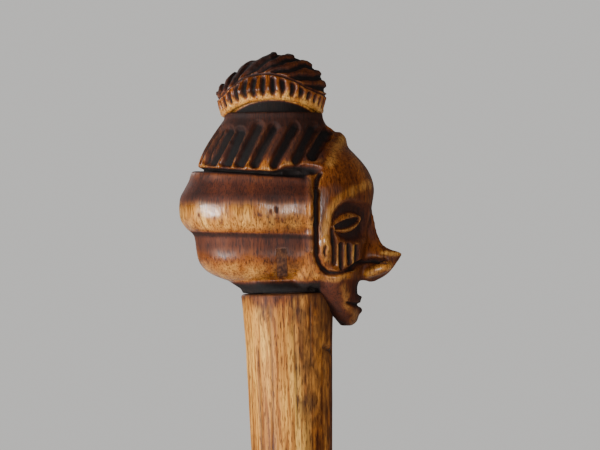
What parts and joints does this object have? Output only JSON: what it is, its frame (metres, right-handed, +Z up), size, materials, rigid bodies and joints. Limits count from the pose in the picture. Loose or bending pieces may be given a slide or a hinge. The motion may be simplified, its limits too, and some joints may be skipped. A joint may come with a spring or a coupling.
{
  "type": "carved wooden fertility doll",
  "caption": "Carved wooden fertility doll: a dressed head with fluted topknot, hair rolls and a beak-nosed face, tenoned on a plain round shaft and locked by a cross peg.",
  "frame": {"origin": "centre of the shaft's flat foot", "axes": "+Z up along the shaft, the face looks along -Y, X runs from flank to flank"},
  "size_m": [0.049, 0.079, 0.2796],
  "materials": {
    "carved_hardwood": "carved, darkened and polished by handling, near black in the cuts",
    "dry_hardwood": "dry whittled wood with coarse upright grain",
    "peg_wood": "dark end grain"
  },
  "bodies": {
    "root": {"head": "carved_hardwood", "shaft": "dry_hardwood", "cross_peg": "peg_wood"}
  },
  "joints": []
}
